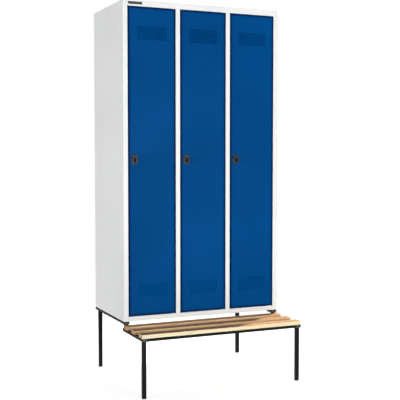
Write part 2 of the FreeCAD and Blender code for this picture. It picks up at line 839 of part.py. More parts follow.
def make_plug(name, at, section, run, face, forward):
    # an end plug: a face that covers the tube's end and a tongue in its bore
    body = make_body(name, at)
    plane = tube_planes[run]
    cover = draw_rectangle(body, name + "Face", plane, ("0", "0"), section)
    add_feature(body, "Pad", cover, face, reverse=not forward)
    add_bevel(body, "tube_round_radius", along(tube_axes[run]))
    play = "(tube_wall + plug_gap)"
    high = tuple(f"{text} - {play}" for text in section)
    lift = face if forward else f"-{face}"
    tongue = draw_rectangle(body, name + "Tongue", plane, (play, play), high, lift)
    add_feature(body, "Pad", tongue, "plug_depth", reverse=not forward)
    return body


cabinet_rail_z = "(stand_height - tube_height)"
bench_rail_z = f"({bench_rail_top} - tube_height)"
bench_front = f"({front} - bench_reach)"
bench_rail_back = f"({front} + riser_setback + leg_width)"
front_leg_y = f"({bench_front} + leg_front_inset)"
rear_leg_y = f"({front} + cabinet_depth - leg_rear_inset - leg_width)"
slat_names = ("front", "middle", "rear")


def slat_y(i):
    return f"({bench_front} + {i} * (slat_width + slat_gap))"


def make_frame():
    plugs = []
    feet = []
    flat = ("tube_width", "tube_height")
    square = ("leg_width", "leg_width")
    for side in sides:
        x = side_left(side, "tube_width")
        leg_x = f"({x} + (tube_width - leg_width) / 2)"
        title = side.title()
        size = ("tube_width", "cabinet_depth - 2 * plug_face_thickness", "tube_height")
        at = (x, f"{front} + plug_face_thickness", cabinet_rail_z)
        keep(make_tube(title + "UpperRail", size, at, "y"), f"{side}_upper_rail")
        size = ("leg_width", "leg_width", f"{cabinet_rail_z} - {bench_rail_top}")
        at = (leg_x, f"{front} + riser_setback", bench_rail_top)
        keep(make_tube(title + "Riser", size, at, "z"), f"{side}_riser")
        size = ("tube_width", f"{bench_rail_back} - {bench_front} - 2 * plug_face_thickness", "tube_height")
        at = (x, f"{bench_front} + plug_face_thickness", bench_rail_z)
        keep(make_tube(title + "LowerRail", size, at, "y"), f"{side}_lower_rail")
        size = ("leg_width", "leg_width", f"{bench_rail_z} - foot_height")
        at = (leg_x, front_leg_y, "foot_height")
        keep(make_tube(title + "FrontLeg", size, at, "z"), f"{side}_front_leg")
        size = ("leg_width", "leg_width", f"{cabinet_rail_z} - foot_height")
        at = (leg_x, rear_leg_y, "foot_height")
        keep(make_tube(title + "RearLeg", size, at, "z"), f"{side}_rear_leg")
        ends = (
            ("PlugA", front, cabinet_rail_z, False),
            ("PlugB", f"{front} + cabinet_depth", cabinet_rail_z, True),
            ("PlugC", bench_front, bench_rail_z, False),
            ("PlugD", bench_rail_back, bench_rail_z, True),
        )
        for word, y, z, forward in ends:
            plugs.append(make_plug(title + word, (x, y, z), flat, "y", "plug_face_thickness", forward))
        for word, y in (("FrontFoot", front_leg_y), ("RearFoot", rear_leg_y)):
            feet.append(make_plug(title + word, (leg_x, y, "0"), square, "z", "foot_height", True))
    keep(make_group("RailPlugs", plugs), "rail_plugs")
    keep(make_group("FootPlugs", feet), "foot_plugs")
    size = ("cabinet_width - 2 * tube_width", "tube_width", "tube_height")
    cross_x = f"{left} + tube_width"
    keep(make_tube("FrontRail", size, (cross_x, bench_front, bench_rail_z), "x"), "front_rail")
    keep(make_tube("RearRail", size, (cross_x, rear_leg_y, cabinet_rail_z), "x"), "rear_rail")


def make_slat(i):
    name = f"Slat{i}"
    body = make_body(name, (f"{left} + slat_inset", slat_y(i), bench_rail_top))
    high = ("slat_width", "slat_thickness")
    face = draw_rectangle(body, name + "Face", "YZ_Plane", ("0", "0"), high)
    add_feature(body, "Pad", face, "cabinet_width - 2 * slat_inset")
    add_round(body, "slat_round_radius", along(axis_x))
    keep(body, f"{slat_names[i]}_bench_slat")


make_left_side()
make_right_side()
make_partition(1, "left_partition")
make_partition(2, "right_partition")
make_roof()
make_floor()
make_back()
for k in compartments:
    make_shelf(k)
    make_coat_rail(k)
    for i, share in enumerate(hook_place_shares):
        make_hook(k, i, share)
    make_door(k)
    make_rib(k)
    make_lock_plate(k)
    make_knob(k)
    make_cam(k)
make_hinges()
make_buffers()
make_frame()
for i in range(len(slat_names)):
    make_slat(i)
doc.recompute()

faults = [item.Name for item in doc.Objects if "Invalid" in item.State or "Error" in item.State]
faults += [item.Label for item in kept if item.Shape.isNull() or not item.Shape.isValid()]
if faults:
    raise RuntimeError("these pieces failed: " + ", ".join(faults))
os.makedirs("parts", exist_ok=True)
for item in kept:
    item.Shape.exportStep(f"parts/{item.Label}.step")
print(len(kept), "pieces written")
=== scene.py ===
import bmesh
import bpy
import json
import math
from mathutils import Matrix, Vector


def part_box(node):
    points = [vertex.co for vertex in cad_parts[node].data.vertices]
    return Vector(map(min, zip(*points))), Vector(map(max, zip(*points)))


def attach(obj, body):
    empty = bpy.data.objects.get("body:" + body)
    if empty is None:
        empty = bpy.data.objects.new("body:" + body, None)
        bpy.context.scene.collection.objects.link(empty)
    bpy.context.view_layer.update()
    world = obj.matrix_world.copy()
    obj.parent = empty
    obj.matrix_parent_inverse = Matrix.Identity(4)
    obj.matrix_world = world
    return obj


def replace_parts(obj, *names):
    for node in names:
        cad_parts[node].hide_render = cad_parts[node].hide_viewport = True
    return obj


# Bench locker: pale grey steel cabinet, three blue doors, black tube frame, three beech slats in front.

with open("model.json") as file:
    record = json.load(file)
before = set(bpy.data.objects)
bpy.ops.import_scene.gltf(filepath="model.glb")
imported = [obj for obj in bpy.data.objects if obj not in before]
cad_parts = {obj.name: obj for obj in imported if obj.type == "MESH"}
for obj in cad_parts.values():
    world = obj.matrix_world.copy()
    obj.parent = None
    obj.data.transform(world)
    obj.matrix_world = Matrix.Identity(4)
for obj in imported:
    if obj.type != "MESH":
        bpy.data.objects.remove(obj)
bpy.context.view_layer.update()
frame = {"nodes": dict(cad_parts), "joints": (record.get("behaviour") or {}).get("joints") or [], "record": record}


def middleOf(node):
    low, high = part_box(node)
    return (low + high) / 2


def jointPlace(name):
    return next(Vector(joint["pos_m"]) for joint in frame["joints"] if joint["name"] == name)


# Shader maths

class Wire:
    def __init__(self, tree, socket=None):
        self.tree = tree
        self.socket = socket

    def node(self, kind, settings=None, inputs=None, output=0):
        made = self.tree.nodes.new("ShaderNode" + kind)
        for name, value in (settings or {}).items():
            setattr(made, name, value)
        for name, value in (inputs or {}).items():
            self.plug(value, made.inputs[name])
        return Wire(self.tree, made.outputs[output])

    def plug(self, value, socket):
        if isinstance(value, Wire):
            self.tree.links.new(value.socket, socket)
        else:
            socket.default_value = value

    def maths(self, operation, *values):
        return self.node("Math", {"operation": operation}, dict(enumerate(values)))

    def __add__(self, other):
        return self.maths("ADD", self, other)

    def __radd__(self, other):
        return self.maths("ADD", other, self)

    def __sub__(self, other):
        return self.maths("SUBTRACT", self, other)

    def __rsub__(self, other):
        return self.maths("SUBTRACT", other, self)

    def __mul__(self, other):
        return self.maths("MULTIPLY", self, other)

    def __rmul__(self, other):
        return self.maths("MULTIPLY", other, self)

    def __abs__(self):
        return self.maths("ABSOLUTE", self)


def rgb(red, green, blue):      # as a picture editor shows the colour
    levels = [part / 255 for part in (red, green, blue)]
    return [v / 12.92 if v <= 0.04045 else ((v + 0.055) / 1.055) ** 2.4 for v in levels] + [1.0]


def startFinish(name):
    finish = bpy.data.materials.new(name)
    finish.use_nodes = True
    start = Wire(finish.node_tree)
    return finish, start.node("TexCoord", output="Object")


def endFinish(finish, inputs):
    shader = finish.node_tree.nodes["Principled BSDF"]
    for name, value in inputs.items():
        Wire(finish.node_tree).plug(value, shader.inputs[name])
    return finish


def coordinate(at, axis):
    return at.node("SeparateXYZ", {}, {"Vector": at}, axis)


def facing(at, axis):           # how far the surface looks along one of the object's own axes
    return coordinate(at.node("TexCoord", output="Normal"), axis)


def stretch(at, scale, turn=(0, 0, 0)):
    return at.node("Mapping", {}, {"Vector": at, "Rotation": turn, "Scale": scale})


def noise(at, scale=1.0, detail=2.0, roughness=0.5, distortion=0.0):
    return at.node("TexNoise", {}, {
        "Vector": at,
        "Scale": scale,
        "Detail": detail,
        "Roughness": roughness,
        "Distortion": distortion,
    })


def ease(value, low, high):     # 0 below low, 1 above high, smooth between
    inputs = {"Value": value, "From Min": low, "From Max": high}
    return value.node("MapRange", {"interpolation_type": "SMOOTHSTEP"}, inputs)


def patches(at, edges, scale=1.0, detail=3.0, roughness=0.5, distortion=0.0):
    return ease(noise(at, scale, detail, roughness, distortion), *edges)


def tint(factor, first, second):            # 6, 7 and 2 are the Mix node's colour sockets
    return factor.node("Mix", {"data_type": "RGBA"}, {0: factor, 6: first, 7: second}, 2)


def bump(height, distance, strength=1.0, under=None):
    inputs = {"Height": height, "Distance": distance, "Strength": strength}
    if under:
        inputs["Normal"] = under
    return height.node("Bump", {}, inputs)


# Grey coat of the cabinet sheets

carcassLook = {
    "colour": rgb(233, 235, 234),
    "shade": rgb(229, 231, 230),
    "dust": rgb(205, 202, 194),
    "scuff": rgb(196, 197, 196),
    "roughness": 0.42,
    "specular": 0.4,
    "driftScale": 2.3,
    "driftEdges": (0.3, 0.7),
    "driftRough": 0.06,
    "upwards": (0.8, 0.98),     # dust lies on the roof and the shelves
    "dustScale": 14.0,
    "dustEdges": (0.42, 0.7),
    "dustShare": 0.22,
    "dustRough": 0.22,
    "scuffScale": (70, 70, 9),
    "scuffTurn": (0.2, 0.4, 0.1),
    "scuffEdges": (0.71, 0.76),
    "scuffShare": 0.5,
    "scuffRough": 0.1,
    "patchScale": 3.1,
    "patchEdges": (0.5, 0.62),
    "peel": 430,                # waves of the coat in a metre
    "peelDepth": 0.00005,
    "sheetScale": 5.0,
    "sheetDepth": 0.0002,
}


def coatPeel(at, look):
    sheet = bump(noise(at, look["sheetScale"], detail=1.0), look["sheetDepth"])
    return bump(noise(at, look["peel"]), look["peelDepth"], under=sheet)


def scratches(at, scale, turn, edges):
    return patches(stretch(at, scale, turn), edges, roughness=0.6)


def makeCarcassCoat(look):
    finish, at = startFinish("greyPowderCoat")
    drift = patches(at, look["driftEdges"], look["driftScale"])
    dust = patches(at, look["dustEdges"], look["dustScale"], detail=5.0, roughness=0.6)
    dust = dust * ease(facing(at, "Z"), *look["upwards"])
    marks = scratches(at, look["scuffScale"], look["scuffTurn"], look["scuffEdges"])
    marks = marks * patches(at, look["patchEdges"], look["patchScale"], detail=2.0)
    colour = tint(drift, look["colour"], look["shade"])
    colour = tint(dust * look["dustShare"], colour, look["dust"])
    colour = tint(marks * look["scuffShare"], colour, look["scuff"])
    rough = look["roughness"] + look["driftRough"] * drift
    rough = rough + look["dustRough"] * dust + look["scuffRough"] * marks
    return endFinish(finish, {
        "Base Color": colour,
        "Roughness": rough,
        "Specular IOR Level": look["specular"],
        "Normal": coatPeel(at, look),
    })


# Blue coat of the doors

doorLook = {
    "colour": rgb(0, 74, 137),
    "shade": rgb(0, 68, 127),
    "scuff": rgb(40, 98, 152),
    # painted shade: the dark blue laid along the door edges, where the gap and the fold are in shadow
    "rim": rgb(0, 22, 70),
    "roughness": 0.44,
    "specular": 0.012,
    "driftScale": 1.9,
    "driftEdges": (0.3, 0.7),
    "driftRough": 0.05,
    "edgeShadeReach": (0.002, 0.016), # painted shade along the door edges, for the shadow in the gap and on the fold
    "edgeShadeShare": 0.9,
    "keyReach": (0.03, 0.16),   # fine scratches round the lock
    "keySide": 0.6,             # how much the way sideways counts
    "keyScale": (160, 160, 14),
    "keyTurn": (0.0, 0.7, 0.0),
    "keyEdges": (0.69, 0.74),
    "keyShare": 0.6,
    "kickHeight": (0.38, 0.62), # broad ones at the foot
    "kickScale": (60, 60, 10),
    "kickTurn": (0.0, 1.35, 0.2),
    "kickEdges": (0.70, 0.75),
    "kickShare": 0.5,
    "scuffShare": 0.55,
    "scuffRough": 0.15,
    "peel": 430,
    "peelDepth": 0.00005,
    "sheetScale": 5.0,
    "sheetDepth": 0.0002,
}


def makeDoorCoat(look):
    finish, at = startFinish("bluePowderCoat")
    low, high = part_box("middle_door_panel")
    half = (high - low) / 2
    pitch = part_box("right_door_panel")[0].x - low.x
    lock = jointPlace("middle_latch_turn")
    x = coordinate(at, "X")
    z = coordinate(at, "Z")
    across = x.maths("WRAP", x, pitch / 2, -pitch / 2)      # from the middle of its own door
    upright = abs(z - middleOf("middle_door_panel").z)
    inward = x.maths("MINIMUM", half.x - abs(across), half.z - upright)
    # painted shade: darker towards the four edges of each door
    rim = 1 - ease(inward, *look["edgeShadeReach"])
    drift = patches(at, look["driftEdges"], look["driftScale"])
    near = 1 - ease(abs(z - lock.z) + abs(across - lock.x) * look["keySide"], *look["keyReach"])
    foot = 1 - ease(z, *look["kickHeight"])
    fine = scratches(at, look["keyScale"], look["keyTurn"], look["keyEdges"])
    broad = scratches(at, look["kickScale"], look["kickTurn"], look["kickEdges"])
    marks = fine * near * look["keyShare"] + broad * foot * look["kickShare"]
    colour = tint(drift, look["colour"], look["shade"])
    # lays the painted edge shade over the blue
    colour = tint(rim * look["edgeShadeShare"], colour, look["rim"])
    colour = tint(marks * look["scuffShare"], colour, look["scuff"])
    rough = look["roughness"] + look["driftRough"] * drift + look["scuffRough"] * marks
    return endFinish(finish, {
        "Base Color": colour,
        "Roughness": rough,
        "Specular IOR Level": look["specular"],
        "Normal": coatPeel(at, look),
    })


# Black coat of the tube frame

tubeLook = {
    "colour": rgb(12, 12, 13),
    "shade": rgb(19, 19, 20),
    "rub": rgb(36, 36, 38),
    "roughness": 0.48,
    "specular": 0.07,
    "driftScale": 6.0,
    "driftEdges": (0.35, 0.7),
    "rubScale": (24, 24, 40),
    "rubEdges": (0.66, 0.74),
    "rubShare": 0.5,
    "rubRough": 0.1,
    "grain": 1500,
    "grainMiddle": 0.5,
    "grainRough": 0.16,
    "grainDepth": 0.00009,
    "grainStrength": 0.8,
}


def makeTubeCoat(look):
    finish, at = startFinish("blackTexturedCoat")
    grain = noise(at, look["grain"], detail=3.0, roughness=0.6)
    drift = patches(at, look["driftEdges"], look["driftScale"])
    rub = patches(stretch(at, look["rubScale"]), look["rubEdges"], detail=5.0, roughness=0.65)
    colour = tint(drift, look["colour"], look["shade"])
    colour = tint(rub * look["rubShare"], colour, look["rub"])
    rough = look["roughness"] + look["grainRough"] * (grain - look["grainMiddle"]) - look["rubRough"] * rub
    return endFinish(finish, {
        "Base Color": colour,
        "Roughness": rough,
        "Specular IOR Level": look["specular"],
        "Normal": bump(grain, look["grainDepth"], look["grainStrength"]),
    })


# Lacquered beech of the slats: paler at the front, warm on top. The pale sides are partly painted light, and the
# warm, darker tops are partly painted shade.

slatLook = {
    "pale": rgb(254, 243, 206),
    "paleStreak": rgb(248, 227, 182),
    "fair": rgb(255, 218, 172),
    "fairStreak": rgb(242, 196, 146),
    "warm": rgb(243, 196, 148),
    "warmStreak": rgb(228, 170, 120),
    "brown": rgb(160, 108, 66),
    "fleck": rgb(142, 92, 54),
    "endGrain": rgb(176, 128, 82),
    "roughness": 0.36,
    "specular": 0.004,
    # how far a face must look up to take the darker top colour (painted shade)
    "shadedTopEdges": (0.3, 0.8),
    "streakScale": (1.5, 34, 34),
    "streakEdges": (0.34, 0.68),
    "ringScale": 34.0,
    "ringStretch": (0.5, 1, 1),
    "ringTurn": (0.5, 0, 0.02),
    "ringBend": 7.0,
    "ringEdges": (0.45, 1.0),
    "ringShare": 0.22,
    "hairScale": (11, 620, 620),
    "hairEdges": (0.45, 0.75),
    "hairShare": 0.20,
    "hairDullEdges": (0.4, 0.7),
    "hairRough": 0.12,
    "hairDepth": 0.00008,
    "hairStrength": 0.6,
    "fleckScale": (150, 1500, 900),
    "fleckEdges": (0.66, 0.73),
    "fleckShare": 0.36,
    "fleckDepth": 0.00005,
    "fleckStrength": 0.5,
    "endEdges": (0.6, 0.9),
    "endShare": 0.6,
    "endRough": 0.25,
}


def makeBeech(look):
    finish, at = startFinish("lacqueredBeech")
    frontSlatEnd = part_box("front_bench_slat")[1].y
    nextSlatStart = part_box("middle_bench_slat")[0].y
    front = 1 - ease(coordinate(at, "Y"), frontSlatEnd, nextSlatStart)
    # painted shade: faces that look up take the darker, warmer colour; the sides take the paler ones as painted
    # light
    top = ease(facing(at, "Z"), *look["shadedTopEdges"])
    ends = ease(abs(facing(at, "X")), *look["endEdges"])
    streak = stretch(at, look["streakScale"])
    grain = patches(streak, look["streakEdges"], detail=5.0, roughness=0.6, distortion=0.5)
    rings = at.node("TexWave", {"wave_type": "BANDS", "bands_direction": "Y", "wave_profile": "SAW"}, {
        "Vector": stretch(at, look["ringStretch"], look["ringTurn"]),
        "Scale": look["ringScale"],
        "Distortion": look["ringBend"],
        "Detail": 3.0,
        "Detail Scale": 0.6,
        "Detail Roughness": 0.55,
    }, "Fac")
    hair = noise(stretch(at, look["hairScale"]), detail=3.0, roughness=0.6)
    flecks = patches(stretch(at, look["fleckScale"]), look["fleckEdges"], detail=1.0)
    pale = tint(grain, look["pale"], look["paleStreak"])
    fair = tint(grain, look["fair"], look["fairStreak"])
    warm = tint(grain, look["warm"], look["warmStreak"])
    # painted light and shade: pale or fair sides, darker warm tops
    colour = tint(top, tint(front, fair, pale), warm)
    colour = tint(ease(rings, *look["ringEdges"]) * look["ringShare"], colour, look["brown"])
    colour = tint(ease(hair, *look["hairEdges"]) * look["hairShare"], colour, look["brown"])
    colour = tint(flecks * look["fleckShare"], colour, look["fleck"])
    colour = tint(ends * look["endShare"], colour, look["endGrain"])
    dull = ease(hair, *look["hairDullEdges"])
    pores = bump(flecks, look["fleckDepth"], look["fleckStrength"])
    return endFinish(finish, {
        "Base Color": colour,
        "Roughness": look["roughness"] + look["hairRough"] * dull + look["endRough"] * ends,
        "Specular IOR Level": look["specular"],
        "Normal": bump(hair, look["hairDepth"], look["hairStrength"], pores),
    })


# Zinc of the coat rails, hinge pins, cams, screws and bolts

zincLook = {
    "bright": rgb(172, 175, 179),
    "dull": rgb(138, 142, 147),
    "roughness": 0.42,
    "cloudScale": 160.0,
    "cloudEdges": (0.35, 0.7),
    "cloudDullEdges": (0.3, 0.7),
    "cloudRough": 0.16,
    "drawnScale": (30, 900, 900),
    "drawnRough": 0.08,
    "drawnDepth": 0.00003,
    "drawnStrength": 0.6,
}


def makeZinc(look):
    finish, at = startFinish("zincPlate")
    cloud = noise(at, look["cloudScale"], detail=4.0, roughness=0.6)
    drawn = noise(stretch(at, look["drawnScale"]))
    dull = ease(cloud, *look["cloudDullEdges"])
    return endFinish(finish, {
        "Base Color": tint(ease(cloud, *look["cloudEdges"]), look["bright"], look["dull"]),
        "Metallic": 1.0,
        "Roughness": look["roughness"] + look["cloudRough"] * dull + look["drawnRough"] * drawn,
        "Normal": bump(drawn, look["drawnDepth"], look["drawnStrength"]),
    })


# Dark casting of the locks

lockLook = {
    "colour": rgb(38, 42, 48),
    "worn": rgb(82, 87, 93),
    "dark": rgb(26, 29, 34),
    "roughness": 0.42,
    "metallic": 0.3,
    "specular": 0.2,
    "skinScale": 900.0,
    "skinRough": 0.12,
    "skinDepth": 0.00004,
    "skinStrength": 0.7,
    "cloudScale": 90.0,
    "cloudEdges": (0.35, 0.65),
    "wornScale": 240.0,
    "wornEdges": (0.60, 0.70),
    "wornShare": 0.5,
    "wornRough": 0.08,
}


def makeCasting(look):
    finish, at = startFinish("satinCasting")
    skin = noise(at, look["skinScale"], detail=3.0, roughness=0.6)
    cloud = patches(at, look["cloudEdges"], look["cloudScale"])
    worn = patches(at, look["wornEdges"], look["wornScale"], detail=4.0, roughness=0.65)
    colour = tint(cloud, look["colour"], look["dark"])
    return endFinish(finish, {
        "Base Color": tint(worn * look["wornShare"], colour, look["worn"]),
        "Metallic": look["metallic"],
        "Roughness": look["roughness"] + look["skinRough"] * skin - look["wornRough"] * worn,
        "Specular IOR Level": look["specular"],
        "Normal": bump(skin, look["skinDepth"], look["skinStrength"]),
    })


# Moulded pieces: hooks, plugs, bushes and buffers

hookLook = {
    "name": "blackNylon",
    "colour": rgb(24, 24, 26),
    "other": rgb(34, 34, 37),
    "roughness": 0.42,
    "grain": 1100,
}

plugLook = {
    "name": "blackPolythene",
    "colour": rgb(18, 18, 19),
    "other": rgb(34, 33, 32),
    "roughness": 0.55,
    "grain": 700,
}

bushLook = {
    "name": "whiteNylon",
    "colour": rgb(226, 225, 218),
    "other": rgb(208, 205, 194),
    "roughness": 0.40,
    "grain": 900,
}

bufferLook = {
    "name": "greyRubber",
    "colour": rgb(56, 57, 58),
    "other": rgb(78, 78, 76),
    "roughness": 0.78,
    "grain": 1600,
}

mouldedSkin = {                 # the same on all four
    "grainMiddle": 0.5,
    "grainRough": 0.12,
    "grainDepth": 0.00004,
    "grainStrength": 0.7,
    "flowScale": (40, 55, 120),
    "flowEdges": (0.35, 0.7),
    "flowRough": 0.06,
}


def makeMoulding(look, skin):
    finish, at = startFinish(look["name"])
    grain = noise(at, look["grain"], roughness=0.6)
    streams = stretch(at, skin["flowScale"])
    flow = patches(streams, skin["flowEdges"], detail=4.0, roughness=0.6, distortion=0.4)
    rough = look["roughness"] + skin["grainRough"] * (grain - skin["grainMiddle"]) + skin["flowRough"] * flow
    return endFinish(finish, {
        "Base Color": tint(flow, look["colour"], look["other"]),
        "Roughness": rough,
        "Normal": bump(grain, skin["grainDepth"], skin["grainStrength"]),
    })


finishes = {
    "carcass": makeCarcassCoat(carcassLook),
    "door": makeDoorCoat(doorLook),
    "frame": makeTubeCoat(tubeLook),
    "slat": makeBeech(slatLook),
    "zinc": makeZinc(zincLook),
    "lock": makeCasting(lockLook),
    "hook": makeMoulding(hookLook, mouldedSkin),
    "plug": makeMoulding(plugLook, mouldedSkin),
    "bush": makeMoulding(bushLook, mouldedSkin),
    "buffer": makeMoulding(bufferLook, mouldedSkin),
}
for part in frame["record"]["subparts"]:
    for place in frame["nodes"][part["node"]].material_slots:
        place.material = finishes[part["material_slot"]]
print("finishes:", len(finishes))


# Small pieces

mergeDistance = 0.00001
sortAlong = Vector((0.731, 0.577, 0.364))       # a slant along which the corners are put in order


def finishPiece(mesh, name, body, slot):
    bmesh.ops.remove_doubles(mesh, verts=mesh.verts, dist=mergeDistance)
    bmesh.ops.recalc_face_normals(mesh, faces=mesh.faces)
    mesh.verts.sort(key=lambda v: v.co.dot(sortAlong))      # the same order in every run
    mesh.edges.sort(key=lambda e: (e.verts[0].co + e.verts[1].co).dot(sortAlong))
    mesh.faces.sort(key=lambda f: f.calc_center_median().dot(sortAlong) + f.calc_area())
    data = bpy.data.meshes.new(name)
    mesh.to_mesh(data)
    mesh.free()
    data.materials.append(finishes[slot])
    piece = bpy.data.objects.new(name, data)
    bpy.context.scene.collection.objects.link(piece)
    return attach(piece, body)


def turned(at, angle=0.0, axis="X"):
    return Matrix.Translation(at) @ Matrix.Rotation(math.radians(angle), 4, axis)


def pick(geometry, kind):
    return [item for item in geometry if isinstance(item, kind)]


def spread(mesh, verts, share):             # grows or shrinks round the middle of the points
    middle = sum((v.co for v in verts), Vector()) / len(verts)
    bmesh.ops.scale(mesh, verts=verts, vec=(share, share, share), space=Matrix.Translation(-middle))


def edgesAmong(mesh, verts):
    chosen = set(verts)
    return [e for e in mesh.edges if e.verts[0] in chosen and e.verts[1] in chosen]


def addRing(mesh, place, across, along, sides):
    oval = place @ Matrix.Diagonal((across, along, 1, 1))
    made = bmesh.ops.create_circle(mesh, radius=1, segments=sides, matrix=oval)
    return edgesAmong(mesh, made["verts"])


def pushRing(mesh, ring, offset, share=1.0):
    made = bmesh.ops.extrude_edge_only(mesh, edges=ring)["geom"]
    verts = pick(made, bmesh.types.BMVert)
    spread(mesh, verts, share)
    bmesh.ops.translate(mesh, verts=verts, vec=offset)
    return edgesAmong(mesh, verts)


def closeRing(mesh, ring, offset, steps):   # each step: width that is left, part of the offset
    for share, rise in steps:
        ring = pushRing(mesh, ring, offset * rise, share)
    bmesh.ops.holes_fill(mesh, edges=ring)


# Heads of rivets, screws and bolts, standing on the XY plane of their place

roundHead = {"sides": 20, "steps": ((1.0, 0.40), (0.86, 0.34), (0.5, 0.26))}
hexHead = {"washerFoot": 1.18, "washerTop": 1.14, "washerHeight": 0.2, "washerSides": 24, "turnedRim": 0.09}


def addDome(mesh, place, radius, height):
    up = place.to_3x3() @ Vector((0, 0, height))
    ring = addRing(mesh, place, radius, radius, roundHead["sides"])
    bmesh.ops.holes_fill(mesh, edges=ring)
    closeRing(mesh, ring, up, roundHead["steps"])


def addHex(mesh, place, radius, height):    # the hexagon sits on its washer
    washer = height * hexHead["washerHeight"]
    block = height - washer
    bmesh.ops.create_cone(mesh, cap_ends=True, segments=hexHead["washerSides"], depth=washer,
                          radius1=radius * hexHead["washerFoot"], radius2=radius * hexHead["washerTop"],
                          matrix=place @ Matrix.Translation((0, 0, washer / 2)))
    made = bmesh.ops.create_cone(mesh, cap_ends=True, segments=6, depth=block, radius1=radius, radius2=radius,
                                 matrix=place @ Matrix.Translation((0, 0, washer + block / 2)))
    level = place.inverted()
    top = [v for v in made["verts"] if (level @ v.co).z > washer + block / 2]
    bmesh.ops.bevel(mesh, geom=edgesAmong(mesh, top), offset=height * hexHead["turnedRim"], segments=2,
                    profile=0.5, affect="EDGES", material=-1)


# Bare name strip on the head rail

nameStrip = {
    "fromLeft": 0.0285,
    "fromTop": 0.0145,
    "width": 0.076,
    "height": 0.0135,
    "thickness": 0.0012,
    "corner": 0.002,
    "rim": 0.0012,
    "sunk": 0.0004,
    "rivetInset": 0.005,
    "rivetRadius": 0.0016,
    "rivetHeight": 0.0008,
}


def makeNameStrip(look):
    low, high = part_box("roof_panel")
    thickness = look["thickness"]
    x = low.x + look["fromLeft"] + look["width"] / 2
    centre = Vector((x, low.y - thickness / 2, high.z - look["fromTop"]))
    size = Matrix.Diagonal((look["width"], thickness, look["height"], 1))
    mesh = bmesh.new()
    bmesh.ops.create_cube(mesh, size=1, matrix=Matrix.Translation(centre) @ size)
    corners = [e for e in mesh.edges if abs((e.verts[0].co - e.verts[1].co).y) > thickness / 2]
    bmesh.ops.bevel(mesh, geom=corners, offset=look["corner"], segments=4, profile=0.5,
                    affect="EDGES", material=-1)
    face = min(mesh.faces, key=lambda f: f.calc_center_median().y)
    bmesh.ops.inset_individual(mesh, faces=[face], thickness=look["rim"], depth=0)
    bmesh.ops.translate(mesh, verts=face.verts, vec=(0, look["sunk"], 0))
    for end in (-1, 1):
        aside = Vector((end * (look["width"] / 2 - look["rivetInset"]), look["sunk"] - thickness / 2, 0))
        addDome(mesh, turned(centre + aside, 90), look["rivetRadius"], look["rivetHeight"])
    return finishPiece(mesh, "name_strip", "cabinet", "plug")


# Rivets of the lock plates

lockRivets = {
    "radius": 0.0028,
    "height": 0.0012,
    "fromTop": 0.005,
    "fromFoot": 0.0055,
    "plate": 0.004,
}


def makeLockRivets(side, look):
    low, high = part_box(side + "_lock_plate")
    mesh = bmesh.new()
    for z in (high.z - look["fromTop"], low.z + look["fromFoot"]):
        spot = ((low.x + high.x) / 2, high.y - look["plate"], z)
        addDome(mesh, turned(spot, 90), look["radius"], look["height"])
    return finishPiece(mesh, side + "_lock_rivets", side + "_door", "lock")


# Screws of the slats, from below through the side rails

slatScrews = {
    "radius": 0.0042,
    "height": 0.0022,
    "behindMiddle": {"front": 0.014, "middle": 0.0, "rear": 0.0},       # the front row clears the front rail
}


def makeSlatScrews(look):
    mesh = bmesh.new()
    for side in ("left", "right"):
        rail = side + "_lower_rail"
        for slat, behind in look["behindMiddle"].items():
            spot = (middleOf(rail).x, middleOf(slat + "_bench_slat").y + behind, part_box(rail)[0].z)
            addDome(mesh, turned(spot, 180), look["radius"], look["height"])
    return finishPiece(mesh, "slat_screws", "cabinet", "zinc")


# Bolts that hold the cabinet on its frame

frameBolts = {
    "radius": 0.0075,
    "head": 0.0055,
    "nut": 0.0080,
    "shank": 0.004,
    "end": 0.0022,
    "floorSheet": 0.001,
    "fromFront": 0.058,
    "fromRear": 0.128,
}


def makeFrameBolts(look):
    mesh = bmesh.new()
    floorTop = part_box("floor_panel")[0].z + look["floorSheet"]
    for side in ("left", "right"):
        rail = side + "_upper_rail"
        low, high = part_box(rail)
        x = middleOf(rail).x
        for y in (low.y + look["fromFront"], high.y - look["fromRear"]):
            addHex(mesh, turned((x, y, floorTop)), look["radius"], look["head"])
            addHex(mesh, turned((x, y, low.z), 180), look["radius"], look["nut"])
            addDome(mesh, turned((x, y, low.z - look["nut"]), 180), look["shank"], look["end"])
    return finishPiece(mesh, "frame_bolts", "cabinet", "zinc")


# Weld beads of the tube frame

weldBeads = {
    "size": 0.0026,
    "ripple": 0.0004,
    "wave": 0.0032,
    "steps": 9,
    "flush": 0.0003,
}


def addBead(mesh, place, width, depth, look):   # wide at the joint, narrow along the tube
    size = look["size"]
    wide = width + 2 * size
    deep = depth + 2 * size
    spot = place @ Matrix.Translation((0, 0, size / 2))
    made = bmesh.ops.create_cube(mesh, size=1, matrix=spot @ Matrix.Diagonal((wide, deep, size, 1)))
    level = place.inverted()
    far = [v for v in made["verts"] if (level @ v.co).z > size / 2]
    bmesh.ops.scale(mesh, verts=far, vec=(width / wide, depth / deep, 1), space=level)
    edges = edgesAmong(mesh, made["verts"])
    rims = [e for e in edges if abs((level @ e.verts[0].co).z - (level @ e.verts[1].co).z) < size / 2]
    ripple = bmesh.ops.subdivide_edges(mesh, edges=rims, cuts=look["steps"], use_grid_fill=True)
    for vert in pick(ripple["geom_inner"], bmesh.types.BMVert):
        spin = level @ vert.co
        reach = 1 + look["ripple"] / width * math.cos((spin.x + spin.y) / look["wave"] * math.tau)
        vert.co = place @ Vector((spin.x * reach, spin.y * reach, spin.z))


